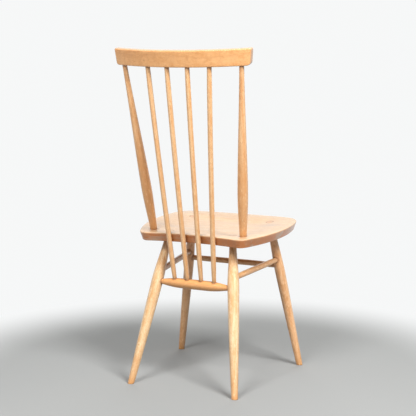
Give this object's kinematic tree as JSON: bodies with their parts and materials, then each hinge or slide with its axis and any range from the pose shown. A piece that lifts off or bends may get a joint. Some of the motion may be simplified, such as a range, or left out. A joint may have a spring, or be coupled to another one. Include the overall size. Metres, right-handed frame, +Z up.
{
  "type": "spindle-back side chair",
  "caption": "Wooden side chair: dished plank seat on splayed turned legs with stretchers, bowed spindles and posts up to a curved crest rail.",
  "frame": {"origin": "on the floor, under the middle of the chair's bounding box", "axes": "+Z up, -Y the way the sitter faces, +X to the sitter's left"},
  "size_m": [0.4338, 0.4375, 0.9672],
  "materials": {
    "seat": "satin",
    "rail": "satin",
    "post": "satin",
    "spindle": "satin",
    "leg": "satin",
    "wedge": "raw",
    "stretcher": "satin"
  },
  "bodies": {
    "root": {"seat": "seat", "crest_rail": "rail", "back_post_left": "post", "back_post_right": "post", "spindle_1": "spindle", "spindle_2": "spindle", "spindle_3": "spindle", "spindle_4": "spindle", "rear_left_leg": "leg", "rear_right_leg": "leg", "front_left_leg": "leg", "front_right_leg": "leg", "rear_left_leg_wedge": "wedge", "rear_right_leg_wedge": "wedge", "front_left_leg_wedge": "wedge", "front_right_leg_wedge": "wedge", "rear_stretcher": "stretcher", "front_stretcher": "stretcher", "side_stretcher_left": "stretcher", "side_stretcher_right": "stretcher"}
  },
  "joints": []
}
